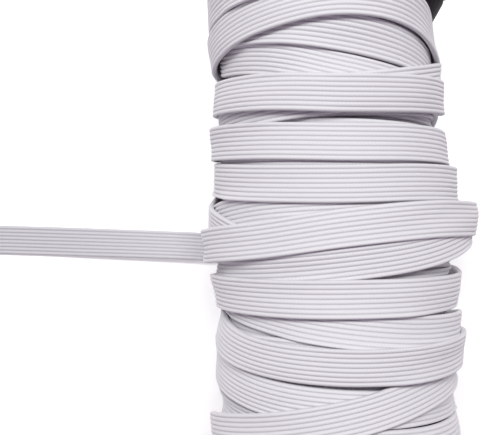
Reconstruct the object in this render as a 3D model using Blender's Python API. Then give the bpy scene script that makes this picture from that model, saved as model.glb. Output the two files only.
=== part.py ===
"""A spool of narrow white braided elastic, lying on its side, with its loose end on the table.

The elastic is wound in slanting turns, several deep, on a dark spool whose ends flare out. The
spool's axis runs along Y and Z is up. The origin is the middle of the small flat on which the
winding rests. The loose end leaves from under the roll and runs along the table towards -X.

Sizes are in millimetres. Angles are in degrees round the axis: 0 at the top, 90 at +X, -90 at -X
and 180 underneath.
"""

import bpy
import numpy as np

MM = 0.001
PIECE_GAP = 0.3
SHARP_ANGLE = 40.0

# The elastic: a flat braid a quarter of an inch wide.
BAND_WIDTH = 6.35
BAND_THICK = 1.0

# The spool, from its middle to one end. Both ends are alike.
AXIS_HEIGHT = 22.8
CORE_RADIUS = 11.5
BORE_RADIUS = 8.5
RIM_RADIUS = 21.8
FLARE_START = 22.0
FLARE_END = 39.2
SPOOL_HALF_LENGTH = 45.0
RIM_WALL = 2.0
END_RECESS_DEPTH = 1.5
HUB_RADIUS = 12.5
EDGE_ROUND = 0.4
SPOOL_SIDES = 64

# The wound elastic.
LEVEL_RADIUS = 22.6
SINK_PER_TURN = 0.95
EVENING_ROUNDS = 8
WOUND_HALF_LENGTH = 44.4
INNER_TURNS_HALF_LENGTH = 38.0
END_SLOPE = 3.0
LEAST_WALL = 0.7
FLAT_HALF_ANGLE = 10.0
FLAT_HALF_LENGTH = 37.0
FLAT_BLEND_ANGLE = 20.0
FLAT_BLEND_LENGTH = 5.0
NEAR_TABLE_ANGLE = 60.0
WOUND_SIDES = 72
WOUND_ROWS = 56

# The inside of the winding follows the spool: rows from one end to its middle, as parts of the half
# length, and the room given beside the corner where the flare meets the rim.
INSIDE_ROWS = (1.0, 0.97, 0.93, 0.885, 0.84, 0.78, 0.68, 0.5, 0.25)
CORNER_ROOM = 0.25
CORNER_SPREAD = 3.0

# The end of the flare that the turns leave bare on the +X side.
BARE_ANGLE = 72.0
BARE_HALF_ANGLE = 38.0
BARE_FROM = 31.0
BARE_BLEND_ANGLE = 15.0

# The main turns, inner ones first: where the middle of each lies along the axis at five angles,
# and how far it stands off the turns under it on its way down the left and the right side.
TURN_ANGLES = (-75.0, -38.0, 0.0, 38.0, 75.0)
TURNS = (
    # name            left   upper left  top   upper right  right   slack left, slack right
    ("lowest",       (-38.2, -38.3, -38.5, -38.7, -38.9), 0.0, 0.0),
    ("low falling",  (-28.7, -30.2, -31.5, -31.6, -31.0), 0.0, 0.0),
    ("low dipping",  (-14.6, -16.6, -18.8, -18.6, -17.0), 0.0, 0.0),
    ("under loose",  (-9.3, -8.6, -7.6, -6.3, -4.9), 0.0, 0.0),
    ("middle fall",  (3.6, 0.8, -1.5, -3.0, -4.0), 0.0, 0.0),
    ("middle rise",  (-2.4, 0.2, 1.8, 2.6, 3.2), 0.0, 0.0),
    ("upper under",  (20.0, 19.6, 19.6, 19.7, 19.9), 0.0, 0.0),
    ("upper level",  (29.2, 28.4, 26.6, 25.4, 24.3), 0.0, 0.0),
    ("upper fall",   (33.2, 32.5, 30.0, 27.7, 25.5), 0.0, 0.0),
    ("top arch",     (30.3, 33.8, 35.1, 32.6, 27.6), 0.4, 0.0),
    ("top end",      (37.6, 39.7, 40.8, 41.3, 41.4), 0.0, 0.0),
    ("upper rise",   (18.0, 18.9, 20.1, 21.8, 23.8), 0.0, 0.0),
    ("upper front",  (22.1, 21.1, 19.9, 19.9, 19.7), 0.0, 0.0),
    ("middle upper", (13.4, 12.8, 12.0, 11.9, 11.6), 0.8, 0.0),
    ("middle lower", (6.9, 5.7, 5.1, 5.2, 5.1), 0.5, 0.7),
    ("low front",    (-13.5, -13.6, -13.7, -13.8, -13.7), 0.0, 0.8),
    ("low end",      (-38.8, -36.0, -33.0, -30.1, -28.8), 1.0, 0.0),
    ("low arch",     (-21.6, -23.8, -24.7, -24.9, -24.6), 0.0, 1.2),
    ("loose",        (-4.9, -3.8, -2.0, -1.1, -1.4), 1.8, 2.6),
)
SLACK_ANGLE = 85.0
SLACK_SPREAD = 40.0

# A turn rests partly on the highest place under it, and for the rest sinks in to the mean height.
REST_ON_HIGHEST = 0.4
TAUT_ROUNDS = 3
TAUT_REACH = 5

# The last turn passes under the roll here, and goes on as the loose end.
LAST_PLACE_BELOW = -7.8

# The loose end: its middle line on the table, and how far its lower edge is turned up there.
TAIL_ROUTE = (
    # along -X, place along the axis, turned up by
    (10.7, -7.5, 0.0),
    (16.0, -7.2, 4.0),
    (21.0, -6.9, 10.0),
    (28.4, -6.3, 15.0),
    (38.0, -5.6, 13.0),
    (50.0, -4.8, 7.0),
    (61.0, -4.1, 1.0),
    (72.0, -3.5, 0.0),
    (82.0, -3.1, 0.0),
)
TAIL_STATIONS = 28
TAIL_EDGE_ROUND = 0.25
TAIL_LIFT = 0.02

WHITE = (0.87, 0.86, 0.90, 1.0)
ELASTIC_ROUGHNESS = 0.85
NEAR_BLACK = (0.018, 0.018, 0.024, 1.0)
PLASTIC_ROUGHNESS = 0.38


def clear_scene():
    for obj in list(bpy.data.objects):
        bpy.data.objects.remove(obj, do_unlink=True)


def finish(name, colour, roughness):
    """A plain material with one colour."""
    material = bpy.data.materials.new(name)
    material.use_nodes = True
    shader = material.node_tree.nodes["Principled BSDF"]
    shader.inputs["Base Color"].default_value = colour
    shader.inputs["Roughness"].default_value = roughness
    shader.inputs["Metallic"].default_value = 0.0
    return material


def add_object(name, points, faces, material):
    """One object from points in millimetres, smooth but for its sharp edges."""
    mesh = bpy.data.meshes.new(name)
    mesh.from_pydata((np.asarray(points) * MM).tolist(), [], faces)
    mesh.materials.append(material)
    mesh.validate()
    mesh.shade_smooth()
    mesh.set_sharp_from_angle(angle=np.radians(SHARP_ANGLE))
    obj = bpy.data.objects.new(name, mesh)
    bpy.context.scene.collection.objects.link(obj)
    return obj


def around(radius, angle, along):
    """Points at a radius and an angle round the spool's axis, and a place along it."""
    turn = np.radians(angle)
    up = AXIS_HEIGHT + radius * np.cos(turn)
    return np.stack(np.broadcast_arrays(radius * np.sin(turn), along, up), axis=-1)


def ring_faces(rings, sides, closed_loop):
    """Quads between rings of the same number of points. In a closed loop the last ring joins the first."""
    faces = []
    for ring in range(rings if closed_loop else rings - 1):
        here, there = ring * sides, (ring + 1) % rings * sides
        for side in range(sides):
            onward = (side + 1) % sides
            faces.append((here + side, here + onward, there + onward, there + side))
    return faces


def glide(at, knots, values):
    """A smooth line through the knots: cubic pieces, whose slope at a knot is that from the knot
    before it to the knot after it."""
    knots, values = np.asarray(knots, float), np.asarray(values, float)
    number = np.arange(len(knots))
    before, after = np.maximum(number - 1, 0), np.minimum(number + 1, len(knots) - 1)
    slopes = (values[after] - values[before]) / (knots[after] - knots[before])
    piece = np.clip(np.searchsorted(knots, at) - 1, 0, len(knots) - 2)
    span = knots[piece + 1] - knots[piece]
    t = (at - knots[piece]) / span
    start = (1 + 2 * t) * (1 - t) ** 2 * values[piece] + t * (1 - t) ** 2 * span * slopes[piece]
    end = t**2 * (3 - 2 * t) * values[piece + 1] - t**2 * (1 - t) * span * slopes[piece + 1]
    return start + end


def spool_radius(along):
    """The outer radius of the spool: a straight core, and a flare up to the rim at each end."""
    return np.interp(np.abs(along), (FLARE_START, FLARE_END), (CORE_RADIUS, RIM_RADIUS))


def make_spool(material):
    """A turned profile, carried round the axis: outside, end recess and bore."""
    end, step = SPOOL_HALF_LENGTH, EDGE_ROUND
    one_end = [
        (FLARE_START, CORE_RADIUS),
        (FLARE_END, RIM_RADIUS),
        (end - step, RIM_RADIUS),
        (end, RIM_RADIUS - step),
        (end, RIM_RADIUS - RIM_WALL),
        (end - END_RECESS_DEPTH, RIM_RADIUS - RIM_WALL - step),
        (end - END_RECESS_DEPTH, HUB_RADIUS + step),
        (end, HUB_RADIUS),
        (end, BORE_RADIUS + step),
        (end - step, BORE_RADIUS),
    ]
    profile = one_end + [(-along, radius) for along, radius in reversed(one_end)]
    angle = np.arange(SPOOL_SIDES) * 360.0 / SPOOL_SIDES
    points = np.concatenate([around(radius, angle, along) for along, radius in profile])
    return add_object("spool", points, ring_faces(len(profile), SPOOL_SIDES, closed_loop=True), material)


def pull_taut(radius):
    """A string pulled tight round a lumpy section. The straight span between two places at a and b from
    the axis, seen under twice an angle d, passes the middle at 2ab cos(d) / (a + b), and the string is
    lifted to it."""
    for _ in range(TAUT_ROUNDS):
        for reach in range(1, TAUT_REACH + 1):
            before, after = np.roll(radius, reach), np.roll(radius, -reach)
            turn = np.radians(reach * 360.0 / WOUND_SIDES)
            radius = np.maximum(radius, 2 * before * after * np.cos(turn) / (before + after))
    return radius


def turn_covers(angle, along):
    """How much of each place of the grid each main turn covers, from 0 to 1, with its edge half way
    where it falls on a row. A slanting turn takes more room along the axis: its width over the cosine
    of its slant."""
    middles = np.append([turn[1] for turn in TURNS], LAST_PLACE_BELOW)
    knots = np.append(np.add.outer(360.0 * np.arange(len(TURNS)), TURN_ANGLES), 360.0 * len(TURNS) - 180.0)
    row, covers = along[1] - along[0], []
    for number in range(len(TURNS)):
        middle = glide(360.0 * number + angle, knots, middles)
        slant = np.gradient(middle) / (np.radians(360.0 / WOUND_SIDES) * LEVEL_RADIUS)
        inside = BAND_WIDTH / 2 * np.hypot(1.0, slant)[:, None] - np.abs(along - middle[:, None])
        covers.append(np.clip(inside / row + 0.5, 0.0, 1.0))
    return covers


def evened(height, rounds):
    """The heights averaged with their neighbours round the axis and along it, a few times over."""
    for _ in range(rounds):
        height = (np.roll(height, 1, axis=0) + 2 * height + np.roll(height, -1, axis=0)) / 4
        ends = np.concatenate([height[:, :1], height, height[:, -1:]], axis=1)
        height = (ends[:, :-2] + 2 * height + ends[:, 2:]) / 4
    return height


def inner_turns(angle, along, covers):
    """The height of the turns under the main ones. They lie lower where more main turns come over them,
    and leave the end of the flare bare on the +X side."""
    least = spool_radius(along) + PIECE_GAP + LEAST_WALL
    bare = np.clip((BARE_HALF_ANGLE - np.abs(angle - BARE_ANGLE)) / BARE_BLEND_ANGLE, 0.0, 1.0)
    top_end = INNER_TURNS_HALF_LENGTH - bare * (INNER_TURNS_HALF_LENGTH - BARE_FROM)
    full = np.clip((top_end[:, None] - along) / END_SLOPE, 0.0, 1.0)
    full *= np.clip((along + INNER_TURNS_HALF_LENGTH) / END_SLOPE, 0.0, 1.0)
    level = LEVEL_RADIUS - SINK_PER_TURN * evened(sum(covers), EVENING_ROUNDS)
    return least + full * np.maximum(level - least, 0.0)


def wound_heights(angle, along):
    """The radius of the winding's outside over a grid of angles and places along the axis."""
    covers = turn_covers(angle, along)
    height = inner_turns(angle, along, covers)
    for cover, (_, _, slack_left, slack_right) in zip(covers, TURNS):
        highest = np.where(cover > 0.5, height, 0.0).max(axis=1)
        mean = (cover * height).sum(axis=1) / cover.sum(axis=1)
        seat = pull_taut(mean + REST_ON_HIGHEST * (highest - mean))
        for side, slack in ((-SLACK_ANGLE, slack_left), (SLACK_ANGLE, slack_right)):
            seat = seat + slack * np.exp(-(((angle - side) / SLACK_SPREAD) ** 2))
        height = height + cover * np.maximum(seat[:, None] + BAND_THICK - height, 0.0)
    return height


def rested(height, angle, along):
    """The heights with the flat on which the roll rests. A place there is at the height of the axis over
    the cosine of its angle from below, and nothing beside it goes under the table."""
    from_below = 180.0 - np.abs(angle)
    to_table = AXIS_HEIGHT / np.cos(np.radians(np.minimum(from_below, NEAR_TABLE_ANGLE)))[:, None]
    rests_round = np.clip((FLAT_HALF_ANGLE - from_below) / FLAT_BLEND_ANGLE + 1.0, 0.0, 1.0)
    rests_along = np.clip((FLAT_HALF_LENGTH - np.abs(along)) / FLAT_BLEND_LENGTH + 1.0, 0.0, 1.0)
    height = height + rests_round[:, None] * rests_along * np.maximum(to_table - height, 0.0)
    return np.where((from_below < NEAR_TABLE_ANGLE)[:, None], np.minimum(height, to_table), height)


def make_wound_elastic(material):
    """The winding: its lumpy outside, its two ends, and its inside, which follows the spool."""
    angle = np.arange(WOUND_SIDES) * 360.0 / WOUND_SIDES - 180.0
    along = np.linspace(-WOUND_HALF_LENGTH, WOUND_HALF_LENGTH, WOUND_ROWS + 1)
    height = rested(wound_heights(angle, along), angle, along)
    outside = around(height.T, angle, along[:, None])
    rows = WOUND_HALF_LENGTH * np.array(INSIDE_ROWS)
    inside_along = np.concatenate([rows, -rows[::-1]])
    corner_room = CORNER_ROOM * np.exp(-(((np.abs(inside_along) - FLARE_END) / CORNER_SPREAD) ** 2))
    inside_radius = spool_radius(inside_along) + PIECE_GAP + corner_room
    inside = around(inside_radius[:, None], angle, inside_along[:, None])
    points = np.concatenate([outside, inside]).reshape(-1, 3)
    points[:, 2] = np.maximum(points[:, 2], 0.0)
    rings = len(along) + len(inside_along)
    return add_object("wound_elastic", points, ring_faces(rings, WOUND_SIDES, closed_loop=True), material)


def make_loose_end(material):
    """A flat strip along the table, carried on its route. Its section turns about the edge that stays
    down."""
    route = np.array(TAIL_ROUTE)
    out = np.linspace(route[0, 0], route[-1, 0], TAIL_STATIONS)
    place = glide(out, route[:, 0], route[:, 1])
    turned = np.radians(glide(out, route[:, 0], route[:, 2]))
    half, step, thick = BAND_WIDTH / 2, TAIL_EDGE_ROUND, BAND_THICK
    section = np.array([
        (-half + step, 0.0), (half - step, 0.0), (half, step), (half, thick - step),
        (half - step, thick), (-half + step, thick), (-half, thick - step), (-half, step),
    ])
    across = section[:, 0] - half
    y = place[:, None] + half + across * np.cos(turned)[:, None] + section[:, 1] * np.sin(turned)[:, None]
    z = section[:, 1] * np.cos(turned)[:, None] - across * np.sin(turned)[:, None] + TAIL_LIFT
    x = np.broadcast_to(-out[:, None], y.shape)
    points = np.stack([x, y, z], axis=-1).reshape(-1, 3)
    corners = len(section)
    faces = ring_faces(TAIL_STATIONS, corners, closed_loop=False)
    faces = [tuple(reversed(face)) for face in faces]
    faces.append(tuple(range(corners)))
    faces.append(tuple(reversed(range(len(points) - corners, len(points)))))
    return add_object("loose_end", points, faces, material)


def main():
    clear_scene()
    elastic = finish("elastic", WHITE, ELASTIC_ROUGHNESS)
    plastic = finish("spool_plastic", NEAR_BLACK, PLASTIC_ROUGHNESS)
    make_spool(plastic)
    make_wound_elastic(elastic)
    make_loose_end(elastic)


main()
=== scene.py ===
# %% [markdown]
# # A roll of braided elastic
#
# The roll is one long flat strip, a quarter of an inch wide, wound on a dark spool in slanting
# turns that cross each other. Its loose end lies on the table. Each turn shows eight soft ribs.
#
# The roll could be one lumpy solid with stripes painted on it, but then no turn would have an edge
# or a shadow of its own. So here the strip is really wound: turn after turn is laid on what is
# already there, in the order in which a person wound it.

import math

import bpy
import numpy as np
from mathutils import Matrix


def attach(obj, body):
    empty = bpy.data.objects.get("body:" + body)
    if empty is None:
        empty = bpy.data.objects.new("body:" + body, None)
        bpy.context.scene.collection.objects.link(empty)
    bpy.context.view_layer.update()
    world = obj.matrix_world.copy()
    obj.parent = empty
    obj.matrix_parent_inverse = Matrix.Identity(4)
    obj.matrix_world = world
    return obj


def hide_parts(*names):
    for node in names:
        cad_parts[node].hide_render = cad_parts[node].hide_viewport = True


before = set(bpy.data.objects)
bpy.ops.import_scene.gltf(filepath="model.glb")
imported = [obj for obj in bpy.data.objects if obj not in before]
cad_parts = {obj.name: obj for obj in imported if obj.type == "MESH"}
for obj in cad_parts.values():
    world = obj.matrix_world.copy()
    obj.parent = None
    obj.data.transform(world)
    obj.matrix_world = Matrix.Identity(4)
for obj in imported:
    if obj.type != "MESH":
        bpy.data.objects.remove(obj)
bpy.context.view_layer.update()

# %% [markdown]
# ## The camera
#
# The photograph looks straight down from close by, about 14 cm above the axis, so the top of the
# roll looks larger than the strip on the table. The camera is turned by a degree and a half,
# because the roll leans that much in the picture.

# %% The camera
MM = 0.001
AXIS_HEIGHT = 22.8
CAMERA_ABOVE_AXIS = 138.0
CAMERA_LEFT = 15.8
CAMERA_LEAN = 1.5
PHOTO_WIDTH = 500
PIXELS_PER_SLOPE = 715.0
SENSOR_WIDTH = 36.0

camera_data = bpy.data.cameras.new("photo_camera")
camera_data.sensor_width = SENSOR_WIDTH
camera_data.lens = SENSOR_WIDTH * PIXELS_PER_SLOPE / PHOTO_WIDTH
camera_data.clip_start = 0.01
camera = bpy.data.objects.new("photo_camera", camera_data)
camera.location = (-CAMERA_LEFT * MM, 0.0, (AXIS_HEIGHT + CAMERA_ABOVE_AXIS) * MM)
camera.rotation_euler = (0.0, 0.0, math.radians(-CAMERA_LEAN))
bpy.context.scene.collection.objects.link(camera)
bpy.context.scene.camera = camera
print("camera lens", round(camera_data.lens, 1), "mm")

# %% [markdown]
# ## Writing shader maths as sums
#
# A pattern is a formula. With a small class round a socket, the formula can be written as Python:
# each operator adds the Math node that does it.


# %% A socket that can be added and multiplied
class Socket:
    """A value in a node tree. Operators on it add Math nodes, and node() adds any other node."""

    def __init__(self, tree, link):
        self.tree, self.link = tree, link

    def node(self, kind, settings=None, out=0, **inputs):
        made = self.tree.nodes.new(kind)
        for name, value in (settings or {}).items():
            setattr(made, name, value)
        for name, value in inputs.items():
            numbered = name[0] == "i" and name[1:].isdigit()
            index = int(name[1:]) if numbered else name.replace("_", " ")
            plug(self.tree, made.inputs[index], value)
        return Socket(self.tree, made.outputs[out])

    def math(self, operation, *values):
        inputs = {f"i{number}": value for number, value in enumerate(values)}
        return self.node("ShaderNodeMath", {"operation": operation}, **inputs)

    def __add__(self, other):
        return self.math("ADD", self, other)

    def __sub__(self, other):
        return self.math("SUBTRACT", self, other)

    def __rsub__(self, other):
        return self.math("SUBTRACT", other, self)

    def __mul__(self, other):
        return self.math("MULTIPLY", self, other)

    __radd__ = __add__
    __rmul__ = __mul__

    def __truediv__(self, other):
        return self.math("DIVIDE", self, other)

    def __pow__(self, other):
        return self.math("POWER", self, other)

    def sin(self):
        return self.math("SINE", self)

    def fraction(self):
        return self.math("FRACT", self)

    def floor(self):
        return self.math("FLOOR", self)

    def clamp(self):
        return self.node("ShaderNodeClamp", None, Value=self)

    def mix_colour(self, first, second):
        """first where this value is 0 and second where it is 1."""
        settings = {"data_type": "RGBA"}
        return self.node("ShaderNodeMix", settings, out=2, i0=self, i6=first, i7=second)


def plug(tree, socket, value):
    """Links a Socket, or sets a number or a colour."""
    if isinstance(value, Socket):
        tree.links.new(value.link, socket)
    else:
        socket.default_value = value


def new_material(name, **constants):
    """A Principled material with the constants on its own sockets, and a Socket to start formulas
    from."""
    material = bpy.data.materials.new(name)
    material.use_nodes = True
    tree = material.node_tree
    shader = tree.nodes["Principled BSDF"]
    for socket, value in constants.items():
        shader.inputs[socket.replace("_", " ")].default_value = value
    return material, shader, Socket(tree, None)


print("shader helpers ready")

# %% [markdown]
# ## The braid's cloth
#
# Braided elastic is rubber cords side by side, with white polyester yarn plaited round them. Close
# up each rib is a row of small slanting stitches, and the slant changes from one rib to the next.
# The ribs themselves are real shape, further on. The stitches are a tenth of a millimetre, so they
# are a bump, drawn on the strip's own UV map: U counts ribs across, and V counts millimetres along.
#
# The pattern is used twice. In both, the darker, more violet colour in the grooves between ribs is
# painted shade. The loose end gets the same pattern in a greyer tone, which is painted shade too: it
# stands in for the shadow that the roll casts on the strip beside it.

# %% The elastic's material
STITCH_LENGTH = 0.62
STITCH_SLANT = 1.2
VALLEY_SHADE_SHARPNESS = 0.6
WHITE_EVERYWHERE, WHITE_ON_STITCH, WHITE_IN_PATCH = 0.93, 0.05, 0.07
PATCH_SCALE, FUZZ_SCALE = 90.0, 9000.0
STITCH_RELIEF, FUZZ_RELIEF = 0.7, 0.4
GREY = (0.55, 0.52, 0.60, 1.0)
# Valley colours are painted shade in the grooves between ribs. The second pair, for the loose end,
# is a greyer copy: painted shade for the roll's shadow on the strip.
WHITE_CREST, WHITE_SHADED_VALLEY = (0.78, 0.772, 0.806, 1.0), (0.61, 0.588, 0.632, 1.0)
LOOSE_SHADED_CREST, LOOSE_SHADED_VALLEY = (0.66, 0.652, 0.688, 1.0), (0.49, 0.466, 0.51, 1.0)


def braided_material(name, crest_colour, shaded_valley_colour):
    """Slanting stitches on each rib: sin(2 pi (along / length + within side slant)), with side -1
    or +1 from one rib to the next. The colour goes from the valley's to the crest's as sin(pi
    within)^sharpness; the darker, more violet valley colour is painted shade in the grooves between
    ribs. A soft noise makes patches a little greyer."""
    material, shader, start = new_material(
        name, Sheen_Weight=0.3, Sheen_Roughness=0.5, Roughness=0.8, Specular_IOR_Level=0.25
    )
    braid = start.node("ShaderNodeUVMap", {"uv_map": "braid"})
    ribs_across = start.node("ShaderNodeSeparateXYZ", None, Vector=braid)
    along = start.node("ShaderNodeSeparateXYZ", None, out=1, Vector=braid)
    within = ribs_across.fraction()
    crest = (within * math.pi).sin()
    side = (ribs_across.floor() * 0.5).fraction() * 4.0 - 1.0
    turn = along / STITCH_LENGTH + within * side * STITCH_SLANT
    stitch = (turn * (2 * math.pi)).sin() * 0.5 + 0.5
    place = start.node("ShaderNodeTexCoord", None, out=3)
    patch = start.node("ShaderNodeTexNoise", None, Vector=place, Scale=PATCH_SCALE, Detail=3.0)
    fuzz = start.node("ShaderNodeTexNoise", None, Vector=place, Scale=FUZZ_SCALE, Detail=2.0)
    # painted shade: the grooves between ribs get the darker, more violet valley colour
    colour = (crest**VALLEY_SHADE_SHARPNESS).mix_colour(shaded_valley_colour, crest_colour)
    clean = WHITE_EVERYWHERE + WHITE_ON_STITCH * stitch + WHITE_IN_PATCH * patch
    white = clean.clamp().mix_colour(GREY, colour)
    plug(white.tree, shader.inputs["Base Color"], white)
    relief = stitch * crest * STITCH_RELIEF + fuzz * FUZZ_RELIEF
    bump = start.node("ShaderNodeBump", None, Strength=0.25, Distance=0.00012, Height=relief)
    plug(bump.tree, shader.inputs["Normal"], bump)
    print("material", name)
    return material


elastic = braided_material("braided_elastic", WHITE_CREST, WHITE_SHADED_VALLEY)
# painted shade: the loose end's material is a greyer copy, for the roll's shadow on it
shaded_loose_elastic = braided_material("shaded_loose_elastic", LOOSE_SHADED_CREST, LOOSE_SHADED_VALLEY)

# %% [markdown]
# ## The spool's plastic
#
# Where the turns leave the flare bare, a near-black moulded spool shows. Its shape is turned, and
# the solid of the frame has it, so it stays and only gets its finish: satin, with a fine moulded
# grain and a few scuffs that are a little rougher and a little lighter.

# %% The spool's material
GRAIN_SCALE, SCUFF_SCALE = 4000.0, 160.0
DARK_PLASTIC, SCUFFED_PLASTIC = (0.006, 0.003, 0.008, 1.0), (0.013, 0.007, 0.016, 1.0)
ROUGH_PLASTIC, ROUGHER_SCUFFS = 0.42, 0.16

plastic, shader, start = new_material("spool_plastic", Specular_IOR_Level=0.02)
place = start.node("ShaderNodeTexCoord", None, out=3)
grain = start.node("ShaderNodeTexNoise", None, Vector=place, Scale=GRAIN_SCALE, Detail=3.0)
scuff = start.node("ShaderNodeTexNoise", None, Vector=place, Scale=SCUFF_SCALE, Detail=4.0)
black = scuff.mix_colour(DARK_PLASTIC, SCUFFED_PLASTIC)
plug(black.tree, shader.inputs["Base Color"], black)
rough = ROUGH_PLASTIC + ROUGHER_SCUFFS * scuff
plug(rough.tree, shader.inputs["Roughness"], rough)
bump = start.node("ShaderNodeBump", None, Strength=0.2, Distance=0.00005, Height=grain)
plug(bump.tree, shader.inputs["Normal"], bump)
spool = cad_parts["spool"]
spool.data.materials.clear()
spool.data.materials.append(plastic)
print("material", plastic.name)

# %% [markdown]
# ## The strip's section
#
# Seen from its cut end, the strip is eight humps side by side. A bump could draw them, but not the
# notched outline that they give the roll at its sides. So one outline is worked out here and carried
# along every turn, and the ribs are real shape and catch the light.

# %% The outline across the strip
BAND_WIDTH = 6.35
BAND_THICK = 1.0
RIBS = 8
GROOVE_DEPTH = 0.27
HUMP_POWER, HUMP_FLATNESS = 2.2, 0.75
UNDER_ACROSS, UNDER_HEIGHT = (0.97, 0.88, 0.0, -0.88, -0.97), (0.2, 0.0, 0.0, 0.0, 0.2)


def braid_section(places_in_rib, both_sides):
    """The closed outline of the strip: x across it from -half to half, z through it from 0 up.

    With f the place within a rib, z = thick - depth (1 - (1 - |2f - 1|^power)^flatness). The outer
    halves of the two outer ribs are quarter ellipses down to the middle of the thickness. The
    underside has the same ribs where both sides can be seen, and is plain where it is hidden."""
    half, count = BAND_WIDTH / 2, len(places_in_rib)
    f = np.append(np.tile(places_in_rib, RIBS), 0.0)
    x = np.append(np.repeat(np.arange(RIBS), count), RIBS) + f
    hump = (1.0 - np.abs(2.0 * f - 1.0) ** HUMP_POWER) ** HUMP_FLATNESS
    z = BAND_THICK - GROOVE_DEPTH * (1.0 - hump)
    from_edge = np.minimum(x, RIBS - x)
    edge = BAND_THICK / 2 * (1.0 + np.sqrt(np.clip(1.0 - (1.0 - 2.0 * from_edge) ** 2, 0.0, 1.0)))
    z = np.where(from_edge < 0.5, edge, z)
    x = (x / RIBS * 2.0 - 1.0) * half
    if both_sides:
        under_x, under_z = x[-2:0:-1], BAND_THICK - z[-2:0:-1]
    else:
        under_x, under_z = half * np.array(UNDER_ACROSS), np.array(UNDER_HEIGHT)
    return np.append(x, under_x), np.append(z, under_z)


FINE_RIB = np.array([0.0, 0.1, 0.3, 0.5, 0.7, 0.9])
COARSE_RIB = np.array([0.0, 0.2, 0.5, 0.8])
print("section points:", len(braid_section(FINE_RIB, False)[0]))

# %% [markdown]
# ## Where each turn runs
#
# Every main turn slants its own way. One even helix would be shorter to write, but no turn would
# cross another. So the table below gives the middle of each turn along the axis at five angles,
# from the left side over the top to the right side, in the order of winding. The last one becomes
# the loose end. Behind the places stand a slack and a tilt for the left side, the same two for the
# right side, and a lift for the top, all in millimetres. Slack is how far the turn stands off there,
# and tilt is how much further its upper edge does than its middle.
#
# Under the main turns lie plain ones in two layers, the first wound up the spool and the second
# down. Only their places on top are given. Where two of the second layer leave a slit, the
# photograph shows a dark one, and the first layer is seen at the bottom of it.

# %% The turns
TURN_ANGLES = (-75.0, -38.0, 0.0, 38.0, 75.0)
TURNS = (
    # name            left, upper left, top, upper right, right    slack, tilt: left and right  lift
    ("lowest",       (-36.0, -37.0, -38.2, -39.3, -40.0), (0.0, 0.0), (0.0, 0.0), 0.0),
    ("low falling",  (-28.4, -30.5, -31.8, -32.8, -33.6), (0.0, 0.0), (0.0, 0.0), 0.0),
    ("low dipping",  (-14.6, -16.6, -18.7, -20.45, -21.2), (0.0, 0.0), (1.2, 0.6), 0.0),
    ("middle rise",  (-0.3, 1.2, 1.8, 2.6, 3.2), (1.1, 0.2), (0.0, 0.0), 0.0),
    ("middle fall",  (-1.6, -5.4, -3.0, -1.2, -1.0), (0.1, 0.0), (0.0, 0.0), 0.0),
    ("under loose",  (-9.3, -8.8, -7.7, -6.1, -2.9), (0.6, 0.0), (3.0, -0.3), 0.0),
    ("upper under",  (20.0, 19.6, 19.6, 19.9, 20.4), (0.0, 0.0), (0.0, 0.0), 0.0),
    ("upper level",  (29.3, 27.3, 23.95, 21.8, 20.6), (0.0, 0.0), (0.0, 0.0), 0.0),
    ("upper fall",   (33.9, 32.6, 30.35, 28.05, 25.8), (0.0, 0.0), (0.0, 0.0), 0.2),
    ("top arch",     (31.6, 34.1, 35.7, 34.35, 30.3), (0.3, 0.0), (0.2, -0.5), 0.2),
    ("top end",      (38.8, 39.8, 41.0, 42.2, 43.0), (0.0, 0.0), (0.0, 0.0), 0.35),
    ("upper rise",   (18.0, 18.9, 20.1, 21.9, 24.5), (0.0, 0.0), (-0.5, 0.0), 0.0),
    ("upper front",  (22.1, 21.1, 19.9, 20.2, 21.2), (0.5, 0.5), (-0.2, -0.3), 0.5),
    ("middle upper", (13.8, 12.9, 12.0, 11.9, 11.7), (0.9, 0.0), (0.3, 0.0), -0.15),
    ("middle lower", (6.9, 5.7, 5.1, 5.2, 5.1), (0.6, -0.35), (1.2, 0.2), -0.2),
    ("low front",    (-13.5, -13.6, -13.7, -14.0, -14.2), (0.0, 0.0), (0.75, 0.35), 0.4),
    ("low end",      (-38.8, -36.0, -33.0, -30.1, -28.4), (1.1, 0.0), (0.3, 0.0), 0.1),
    ("low arch",     (-21.7, -23.75, -24.7, -24.9, -24.8), (-0.4, -0.45), (-0.3, 0.1), 0.75),
    ("loose",        (-5.0, -3.8, -2.0, -1.1, -1.3), (1.2, -0.4), (0.6, 1.15), -0.15),
)
LAST_PLACE_BELOW = -7.8
PLAIN_FROM = -30.0
PLAIN_UP = (-28.0, -22.0, -15.8, -9.4, -3.2, 3.4, 9.8, 16.4, 22.6)
PLAIN_DOWN = (33.2, 26.4, 20.1, 13.0, 7.2, 0.3, -5.4, -12.5, -14.5, -20.9, -23.9, -32.2)
BARE_ANGLE, BARE_HALF_ANGLE, BARE_BLEND_ANGLE = 72.0, 38.0, 25.0
BARE_FROM = 33.0
SLACK_ANGLE, SLACK_SPREAD = 85.0, 40.0
LIFT_SPREAD = 78.0
PLAIN_LAID = ((0.0, 0.0), (0.0, 0.0), 0.0)
MEAN_RADIUS = 21.5
SIDE_REACH = 40.0

COLUMNS = 180
STEP = 360.0 / COLUMNS
angle = np.arange(COLUMNS) * STEP - 180.0


def glide(at, knots, values):
    """A smooth line through the knots: cubic pieces, whose slope at a knot is that from the knot
    before it to the knot after it."""
    knots, values = np.asarray(knots, float), np.asarray(values, float)
    number = np.arange(len(knots))
    before, after = np.maximum(number - 1, 0), np.minimum(number + 1, len(knots) - 1)
    slopes = (values[after] - values[before]) / (knots[after] - knots[before])
    piece = np.clip(np.searchsorted(knots, at) - 1, 0, len(knots) - 2)
    span = knots[piece + 1] - knots[piece]
    t = (at - knots[piece]) / span
    start = (1 + 2 * t) * (1 - t) ** 2 * values[piece] + t * (1 - t) ** 2 * span * slopes[piece]
    end = t**2 * (3 - 2 * t) * values[piece + 1] - t**2 * (1 - t) * span * slopes[piece + 1]
    return start + end


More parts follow.
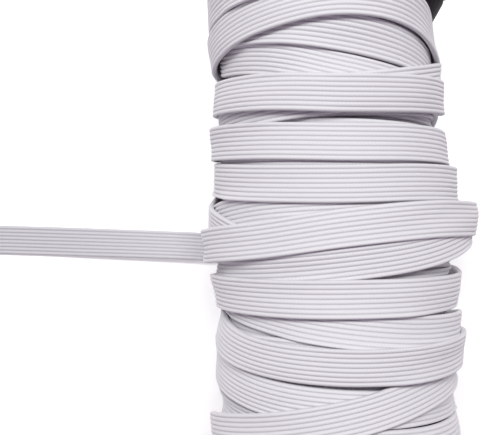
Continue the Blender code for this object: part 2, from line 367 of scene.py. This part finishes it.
def bare_share():
    """1 at the angles where the flare's end is left bare, 0 away from them, a smooth step
    between."""
    inside = (BARE_HALF_ANGLE - np.abs(angle - BARE_ANGLE)) / BARE_BLEND_ANGLE
    share = np.clip(inside + 0.5, 0.0, 1.0)
    return share * share * (3.0 - 2.0 * share)


def all_middles():
    """The middle of the strip along the axis, one row for each turn and one column for each angle.

    Both kinds are a glide: plain turns through their places on top, and main turns through the
    table, with one more knot past each side, straight on by SIDE_REACH."""
    before = len(PLAIN_UP) + len(PLAIN_DOWN)
    plain = np.concatenate([[PLAIN_FROM], PLAIN_UP, PLAIN_DOWN])
    plain_knots = np.append(-180.0, 360.0 * np.arange(before))
    table = np.array([turn[1] for turn in TURNS])
    share = SIDE_REACH / (TURN_ANGLES[1] - TURN_ANGLES[0])
    left = table[:, :1] + share * (table[:, :1] - table[:, 1:2])
    right = table[:, -1:] + share * (table[:, -1:] - table[:, -2:-1])
    beyond = (TURN_ANGLES[0] - SIDE_REACH, TURN_ANGLES[-1] + SIDE_REACH)
    knot_angles = np.concatenate([beyond[:1], TURN_ANGLES, beyond[1:]])
    main_knots = np.add.outer(360.0 * (before + np.arange(len(TURNS))), knot_angles).ravel()
    last_knot = 360.0 * (before + len(TURNS)) - 180.0
    knots = np.concatenate([plain_knots, main_knots, [last_knot]])
    main = np.concatenate([left, table, right], axis=1).ravel()
    values = np.concatenate([plain, main, [LAST_PLACE_BELOW]])
    at = np.add.outer(360.0 * np.arange(before + len(TURNS)), angle)
    middle = glide(at, knots, values)
    over_bare = np.maximum(middle[:before] + BAND_WIDTH / 2 - BARE_FROM, 0.0)
    middle[:before] -= bare_share() * over_bare
    return middle


middles = all_middles()
print("turns:", middles.shape[0], "places round each:", middles.shape[1])

# %% [markdown]
# ## Laying the turns
#
# A map of heights holds how far the winding has grown at each angle and each place along the
# axis. Laying a turn reads the map under it. A wound strip is pulled tight, so it bridges hollows,
# and it is fairly stiff across, so it tilts as a plank and only bends a little. The table's slack,
# tilt and lift are added. Then the map gets the strip's own thickness on top, and the next turn is
# laid. A cloth simulation could settle the turns too, but it would take minutes, and no turn would
# end up where the photograph has it.
#
# The map starts as the spool with the hidden inner turns on it. Their levels, one for each side, are
# chosen so that the finished roll gets the photograph's outline.

# %% The map of heights
ROW, MAP_END = 0.2, 46.0
rows = np.arange(-MAP_END, MAP_END + ROW / 2, ROW)
CORE_RADIUS, RIM_RADIUS = 11.5, 21.8
FLARE_START, FLARE_END = 22.0, 39.2
LEVELS = (
    # place along, level on the left side, level on the right side
    (-44.0, 21.0, 21.4),
    (-38.0, 21.9, 19.5),
    (-30.0, 22.9, 21.9),
    (-22.0, 20.6, 21.0),
    (-13.6, 19.3, 19.0),
    (-9.0, 21.4, 22.2),
    (-3.0, 22.0, 20.5),
    (6.0, 20.9, 21.1),
    (12.5, 21.9, 21.4),
    (20.0, 19.0, 18.4),
    (25.0, 20.8, 17.0),
    (30.0, 21.0, 19.2),
    (33.0, 21.3, 21.8),
    (38.0, 21.8, 21.8),
)
SINK_PER_TURN = 0.95
FILLED_TO = 38.0
END_SLOPE = 3.0
CLEAR = 0.05
EVENED_ROWS, EVENED_ROUNDS = 17, 4
LANES = 17
lanes = np.linspace(-1.0, 1.0, LANES)


def half_widths(middle):
    """Half the strip's width along the axis: a slanting strip takes sqrt(1 + slant^2) times its
    own."""
    slant = np.gradient(middle) / (math.radians(STEP) * MEAN_RADIUS)
    return BAND_WIDTH / 2 * np.hypot(1.0, slant)[:, None]


def smooth_round(values, rounds):
    """Each place averaged with its two neighbours round the roll, as 1-2-1, a few times over."""
    for _ in range(rounds):
        values = (np.roll(values, 1, axis=0) + 2 * values + np.roll(values, -1, axis=0)) / 4
    return values


def evened(values):
    """The map averaged round the roll, and along it over EVENED_ROWS rows."""
    beyond = EVENED_ROWS // 2
    wide = np.ones(EVENED_ROWS) / EVENED_ROWS
    padded = np.pad(smooth_round(values, EVENED_ROUNDS), ((0, 0), (beyond, beyond)), mode="edge")
    return np.apply_along_axis(np.convolve, 1, padded, wide, "valid")


def smooth_across(values, rounds):
    """Each place averaged with its two neighbours across the strip, which goes straight on past
    each edge."""
    for _ in range(rounds):
        before = np.concatenate([2 * values[:, :1] - values[:, 1:2], values[:, :-1]], axis=1)
        after = np.concatenate([values[:, 1:], 2 * values[:, -1:] - values[:, -2:-1]], axis=1)
        values = (before + 2 * values + after) / 4
    return values


def start_heights():
    """The spool, and the hidden inner turns on it. They lie lower where more main turns come over
    them: level - 2 thick - sink (number of main turns over the place, evened out)."""
    main = middles[-len(TURNS):]
    over = [np.abs(rows - middle[:, None]) < half_widths(middle) for middle in main]
    covers = np.sum(over, axis=0, dtype=float)
    spool_radius = np.interp(np.abs(rows), (FLARE_START, FLARE_END), (CORE_RADIUS, RIM_RADIUS))
    place, left, right = np.array(LEVELS).T
    to_right = 0.5 + 0.5 * np.sin(np.radians(angle))[:, None]
    level_left, level_right = np.interp(rows, place, left), np.interp(rows, place, right)
    level = level_left * (1.0 - to_right) + level_right * to_right
    filled = level - 2 * BAND_THICK - SINK_PER_TURN * evened(covers)
    top_end = FILLED_TO - bare_share()[:, None] * (FILLED_TO - BARE_FROM)
    full = np.clip((top_end - rows) / END_SLOPE, 0.0, 1.0)
    full = full * np.clip((FILLED_TO + rows) / END_SLOPE, 0.0, 1.0)
    return spool_radius + CLEAR + full * np.maximum(filled - spool_radius, 0.0)


def read_between(values, place):
    """Each row of values read at the places given for it, on the straight line between two values.
    A place past the last value counts as one just before it."""
    place = np.clip(place, 0.0, values.shape[1] - 1.001)
    low = place.astype(int)
    part = place - low
    before = np.take_along_axis(values, low, axis=1)
    after = np.take_along_axis(values, low + 1, axis=1)
    return before * (1.0 - part) + after * part


def lane_place(across):
    """Which lane a place across the strip falls on, from -1 at one edge to 1 at the other."""
    return (across + 1.0) / 2.0 * (LANES - 1)


TAUT_REACHES = (1, 2, 4, 7, 10, 4, 2, 1)
REST_ON_HIGHEST = 0.7
TILT_KEPT = 0.45
BEND_ACROSS = 0.35
SINK = 0.2
MEAN_ROUNDS, TILT_ROUNDS, OVER_ROUNDS, SEAT_ROUNDS, ACROSS_ROUNDS = 4, 6, 6, 3, 12
EDGE_SHARPNESS = 12.0


def pull_taut(radius):
    """A string pulled tight round a lumpy section. The straight span between two places at a and b
    from the axis, seen under twice an angle d, passes the middle at 2ab cos(d) / (a + b), and the
    string is lifted to it."""
    for reach in TAUT_REACHES:
        before, after = np.roll(radius, reach, axis=0), np.roll(radius, -reach, axis=0)
        middle = 2 * before * after * math.cos(math.radians(reach * STEP)) / (before + after)
        radius = np.maximum(radius, middle)
    return radius


def lay(heights, middle, left, right, lift):
    """Lays one turn: how high its underside runs at each angle and lane, and the map with it on
    top.

    The plank across: a straight line through the mean height under the turn, with a share of the
    best line's tilt, lifted by a share of the highest place over it. The strip: plank + bend (taut
    - plank), never deeper than a sink. Near each side it gets slack + tilt * lane more, and over
    the top the lift."""
    half = half_widths(middle)
    taut = pull_taut(read_between(heights, (middle[:, None] + half * lanes - rows[0]) / ROW))
    mean = taut.mean(axis=1, keepdims=True)
    tilt = (taut * lanes).mean(axis=1, keepdims=True) / (lanes**2).mean()
    mean, tilt = smooth_round(mean, MEAN_ROUNDS), smooth_round(tilt, TILT_ROUNDS)
    plank = mean + TILT_KEPT * tilt * lanes
    over = smooth_round(np.max(taut - plank, axis=1, keepdims=True), OVER_ROUNDS)
    plank = plank + REST_ON_HIGHEST * over
    seat = np.maximum(plank + BEND_ACROSS * (taut - plank), taut - SINK)
    seat = smooth_across(smooth_round(seat, SEAT_ROUNDS), ACROSS_ROUNDS)
    for side, (slack, tilted) in ((-SLACK_ANGLE, left), (SLACK_ANGLE, right)):
        near = np.exp(-(((angle - side) / SLACK_SPREAD) ** 2))[:, None]
        seat = seat + near * (slack + tilted * lanes)
    seat = seat + lift * np.exp(-((angle / LIFT_SPREAD) ** 4))[:, None]
    across = (rows - middle[:, None]) / half
    edge = np.clip((1.0 - np.abs(across)) * EDGE_SHARPNESS, 0.0, 1.0)
    top = read_between(seat, lane_place(across)) + BAND_THICK * (0.5 + 0.5 * edge)
    return seat, np.where(np.abs(across) <= 1.0, np.maximum(heights, top), heights)


heights = start_heights()
seats = []
for number, middle in enumerate(middles):
    main = number - (len(middles) - len(TURNS))
    left, right, lift = TURNS[main][2:] if main >= 0 else PLAIN_LAID
    seat, heights = lay(heights, middle, left, right, lift)
    seats.append(seat)
seats = np.array(seats)
print("outermost radius:", round(float(heights.max()), 2), "mm")

# %% [markdown]
# ## From one turn into the next
#
# On the roll the strip is one long spiral. Laid as such, each place would have to wait for the one
# before it. A whole ring at a time is quicker, but where one ends and the next begins, underneath,
# it leaves a small step. Both are eased to the height half way between.

# %% Ease the joins underneath
JOIN_COLUMNS = 24


def ease_joins(seats):
    """Near the join, each turn moves towards the height half way: half the step, times a ramp."""
    ramp = 0.5 - 0.5 * np.cos(np.linspace(0.0, math.pi, JOIN_COLUMNS))
    step = seats[1:, 0] - seats[:-1, -1]
    seats[:-1, -JOIN_COLUMNS:] += 0.5 * step[:, None] * ramp[:, None]
    seats[1:, :JOIN_COLUMNS] -= 0.5 * step[:, None] * ramp[::-1, None]
    return seats


seats = ease_joins(seats)
print("joins eased:", len(seats) - 1)

# %% [markdown]
# ## The flat underneath
#
# A soft roll is pressed where it lies. Cut off at the table, its turns would be open there. So depth
# below the axis is kept as it is down to a knee, and from there on it nears the table but never
# reaches it, and the turns stay in their order. Where the last turn runs out to the loose end, the
# others stop at its upper side.

# %% Rings of points along the strip
KNEE = 1.2
RUN_OUT_TO, RUN_OUT_PLACE, RUN_OUT_STEPS = 10.6, -7.5, 6
TAIL_LIFT = 0.02
LANE_REACH, LANE_HEIGHT = 3.6, 0.9
FLAT_COLUMNS = COLUMNS // 3


def press(depth, floor):
    """A depth down to the knee stays. A deeper one becomes knee + k (1 - exp(-(depth - knee) / k)),
    with k the most that it can go beyond the knee."""
    knee = AXIS_HEIGHT - floor - KNEE
    beyond = np.maximum(depth - knee, 0.0)
    return np.where(depth < knee, depth, knee + KNEE * (1.0 - np.exp(-beyond / KNEE)))


def wound_rings(turns, section):
    """Points of the strip for some turns: one ring of the section at each angle of each turn.

    A point at x across and z through lies at radius seat(x) + z, and at middle + x sqrt(1 +
    slant^2) along the axis. Over the run-out's lane it is pressed no deeper than LANE_HEIGHT above
    the table. Returns the points, and the length along the strip of each ring."""
    x, z = section
    middle = middles[turns].reshape(-1)
    seat = seats[turns].reshape(-1, LANES)
    theta = np.tile(angle, len(turns))
    slant = np.gradient(middle) / (math.radians(STEP) * MEAN_RADIUS)
    lane = np.broadcast_to(lane_place(x / (BAND_WIDTH / 2)), (len(seat), len(x)))
    radius = read_between(seat, lane) + z
    along_axis = middle[:, None] + x * np.hypot(1.0, slant)[:, None]
    turned = np.radians(theta)[:, None]
    depth = -radius * np.cos(turned)
    floor = LANE_HEIGHT * np.exp(-(((along_axis - LAST_PLACE_BELOW) / LANE_REACH) ** 4))
    if turns[-1] == len(middles) - 1:
        last = np.arange(len(theta)) >= len(theta) - FLAT_COLUMNS
        floor = np.where(last[:, None], LANE_HEIGHT * (1.0 - z / BAND_THICK), floor)
    up = AXIS_HEIGHT - press(depth, floor)
    points = np.stack([radius * np.sin(turned), along_axis, up], axis=-1)
    run = np.cumsum(np.hypot(1.0, slant) * math.radians(STEP) * seat.mean(axis=1))
    return points, run


def run_out(rings, run, section):
    """The last turn goes straight on along the table to the loose end: its last ring moves step by
    step into a ring that lies flat, with the outer side down."""
    x, z = section
    far = np.full_like(x, -RUN_OUT_TO)
    flat = np.stack([far, RUN_OUT_PLACE + x, TAIL_LIFT + BAND_THICK - z], axis=-1)
    share = np.linspace(0.0, 1.0, RUN_OUT_STEPS + 1)[1:, None, None]
    more = rings[-1] * (1.0 - share) + flat * share
    steps = share.ravel() * (RUN_OUT_TO + rings[-1, 0, 0])
    return np.concatenate([rings, more]), np.append(run, run[-1] + steps)


def tube(name, rings, run, section_x, material):
    """A closed tube through the rings, capped at both ends, with the braid's UV map on it."""
    count, corners = rings.shape[:2]
    ring, corner = np.meshgrid(np.arange(count - 1), np.arange(corners), indexing="ij")
    here, there = ring * corners, (ring + 1) * corners
    onward = (corner + 1) % corners
    quads = np.stack([here + corner, here + onward, there + onward, there + corner], axis=-1)
    quads = quads.reshape(-1, 4)
    caps = np.array([np.arange(corners)[::-1], (count - 1) * corners + np.arange(corners)])
    mesh = bpy.data.meshes.new(name)
    mesh.vertices.add(count * corners)
    mesh.vertices.foreach_set("co", (rings * MM).ravel())
    loops = np.concatenate([quads.ravel(), caps.ravel()])
    mesh.loops.add(len(loops))
    mesh.loops.foreach_set("vertex_index", loops)
    starts = np.concatenate([np.arange(len(quads)) * 4, len(quads) * 4 + np.arange(2) * corners])
    mesh.polygons.add(len(starts))
    mesh.polygons.foreach_set("loop_start", starts)
    across = (section_x / BAND_WIDTH + 0.5) * RIBS
    uv = np.stack([across[loops % corners], run[loops // corners]], axis=-1)
    layer = mesh.uv_layers.new(name="braid")
    layer.data.foreach_set("uv", uv.ravel())
    mesh.update(calc_edges=True)
    mesh.validate()
    mesh.shade_smooth()
    mesh.materials.append(material)
    made = bpy.data.objects.new(name, mesh)
    bpy.context.scene.collection.objects.link(made)
    print(name, "triangles:", sum(len(p.vertices) - 2 for p in mesh.polygons))
    return made


# %% The wound pieces
coarse, fine = braid_section(COARSE_RIB, False), braid_section(FINE_RIB, False)
BATCHES = (
    # name of the piece, its first turn, the first turn after it, its section
    ("inner_turns_up", 0, 9, coarse),
    ("inner_turns_down", 9, 21, coarse),
    ("outer_turns_first", 21, 28, fine),
    ("outer_turns_second", 28, 34, fine),
    ("outer_turns_last", 34, 40, fine),
)
wound_run = 0.0
for name, first, last, section in BATCHES:
    rings, run = wound_rings(np.arange(first, last), section)
    if last == len(middles):
        rings, run = run_out(rings, run, section)
    piece = tube(name, rings, run + wound_run, section[0], elastic)
    wound_run += run[-1]
    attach(piece, "root")
    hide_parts("wound_elastic")
print("wound length:", round(wound_run / 1000, 2), "m")

# %% [markdown]
# ## The loose end
#
# The last turn runs out under the roll and lies on the table. It is the same strip, so it has the
# same section, with ribs on both sides because both can be seen. It could go on in the same piece as
# the last turns, but its end is free, so it is a piece of its own. Near the roll the
# strip is still half turned on its edge; further out it has settled flat.

# %% The loose end
TAIL_ROUTE = (
    # along -X, place along the axis, turned up by
    (10.7, -7.5, 0.0),
    (16.0, -7.2, 4.0),
    (21.0, -6.9, 10.0),
    (28.4, -6.3, 15.0),
    (38.0, -5.6, 13.0),
    (50.0, -4.8, 7.0),
    (61.0, -4.1, 1.0),
    (72.0, -3.5, 0.0),
    (82.0, -3.1, 0.0),
)
TAIL_STATIONS = 144


def tail_rings(section):
    """Rings along the route: the section turned by an angle about the edge that stays on the table.

    y = place + half + (x - half) cos(a) + z sin(a), and height = z cos(a) - (x - half) sin(a)."""
    x, z = section
    route = np.array(TAIL_ROUTE)
    out = np.linspace(route[0, 0], route[-1, 0], TAIL_STATIONS)
    place = glide(out, route[:, 0], route[:, 1])[:, None]
    turned = np.radians(glide(out, route[:, 0], route[:, 2]))[:, None]
    half = BAND_WIDTH / 2
    y = place + half + (x - half) * np.cos(turned) + z * np.sin(turned)
    up = z * np.cos(turned) - (x - half) * np.sin(turned) + TAIL_LIFT
    rings = np.stack([np.broadcast_to(-out[:, None], y.shape), y, up], axis=-1)
    middle = rings.mean(axis=1)
    run = np.append(0.0, np.cumsum(np.linalg.norm(np.diff(middle, axis=0), axis=1)))
    return rings, run, middle


both = braid_section(FINE_RIB, True)
rings, run, middle = tail_rings(both)
loose_end = tube("loose_end_strip", rings[:, ::-1], run, both[0][::-1], shaded_loose_elastic)
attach(loose_end, "root")
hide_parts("loose_end")
tuple(middle[0] * MM)
(middle * MM).tolist()
print("loose end:", round(float(run[-1]), 1), "mm")

# %% [markdown]
# ## Floor and light
#
# The photograph was taken on white. Each turn has a thin dark line under its near edge and none
# over its far edge, so the light comes from above and from the far side, and the lamp is narrow
# that way. Along the other way it is long, so the line is as dark on the left as on the right. The
# surroundings are dim and a little violet, because the shadows in the photograph are.

# %% Floor
floor_material, shader, start = new_material(
    "pale_floor", Base_Color=(0.98, 0.98, 0.98, 1.0), Roughness=0.9,
    Emission_Color=(1.0, 1.0, 1.0, 1.0), Emission_Strength=0.25,
)
FLOOR_REACH, FLOOR_BELOW = 1.5, 0.00005
corners = [(x * FLOOR_REACH, y * FLOOR_REACH, 0.0) for x, y in ((-1, -1), (1, -1), (1, 1), (-1, 1))]
mesh = bpy.data.meshes.new("floor")
mesh.from_pydata(corners, [], [(0, 1, 2, 3)])
mesh.materials.append(floor_material)
floor = bpy.data.objects.new("floor", mesh)
floor.location = (0.0, 0.0, -FLOOR_BELOW)
bpy.context.scene.collection.objects.link(floor)
print("floor:", 2 * FLOOR_REACH, "m wide")


# %% The lamp and the surroundings
LAMP_AIM = (0.0, 0.0, 0.02)
ROOM_COLOUR, ROOM_STRENGTH = (1.0, 0.80, 1.02, 1.0), 0.235


def area_lamp(name, place, length, breadth, power, colour):
    """A long lamp, its length across the roll, that looks at the roll."""
    data = bpy.data.lights.new(name, "AREA")
    data.shape = "RECTANGLE"
    data.size, data.size_y, data.energy, data.color = length, breadth, power, colour
    lamp = bpy.data.objects.new(name, data)
    lamp.location = place
    aim = np.array(LAMP_AIM) - np.array(place)
    lamp.rotation_euler = (math.atan2(math.hypot(aim[0], aim[1]), -aim[2]), 0.0,
                           math.atan2(aim[0], -aim[1]) + math.pi)
    bpy.context.scene.collection.objects.link(lamp)


area_lamp(
    "key", place=(-0.03, 0.27, 0.61), length=0.5, breadth=0.15, power=4.0, colour=(0.97, 1.0, 0.955)
)
world = bpy.data.worlds.new("soft_room")
world.use_nodes = True
background = world.node_tree.nodes["Background"]
background.inputs["Color"].default_value = ROOM_COLOUR
background.inputs["Strength"].default_value = ROOM_STRENGTH
bpy.context.scene.world = world
bpy.context.scene.view_settings.view_transform = "Standard"
print("lights ready")
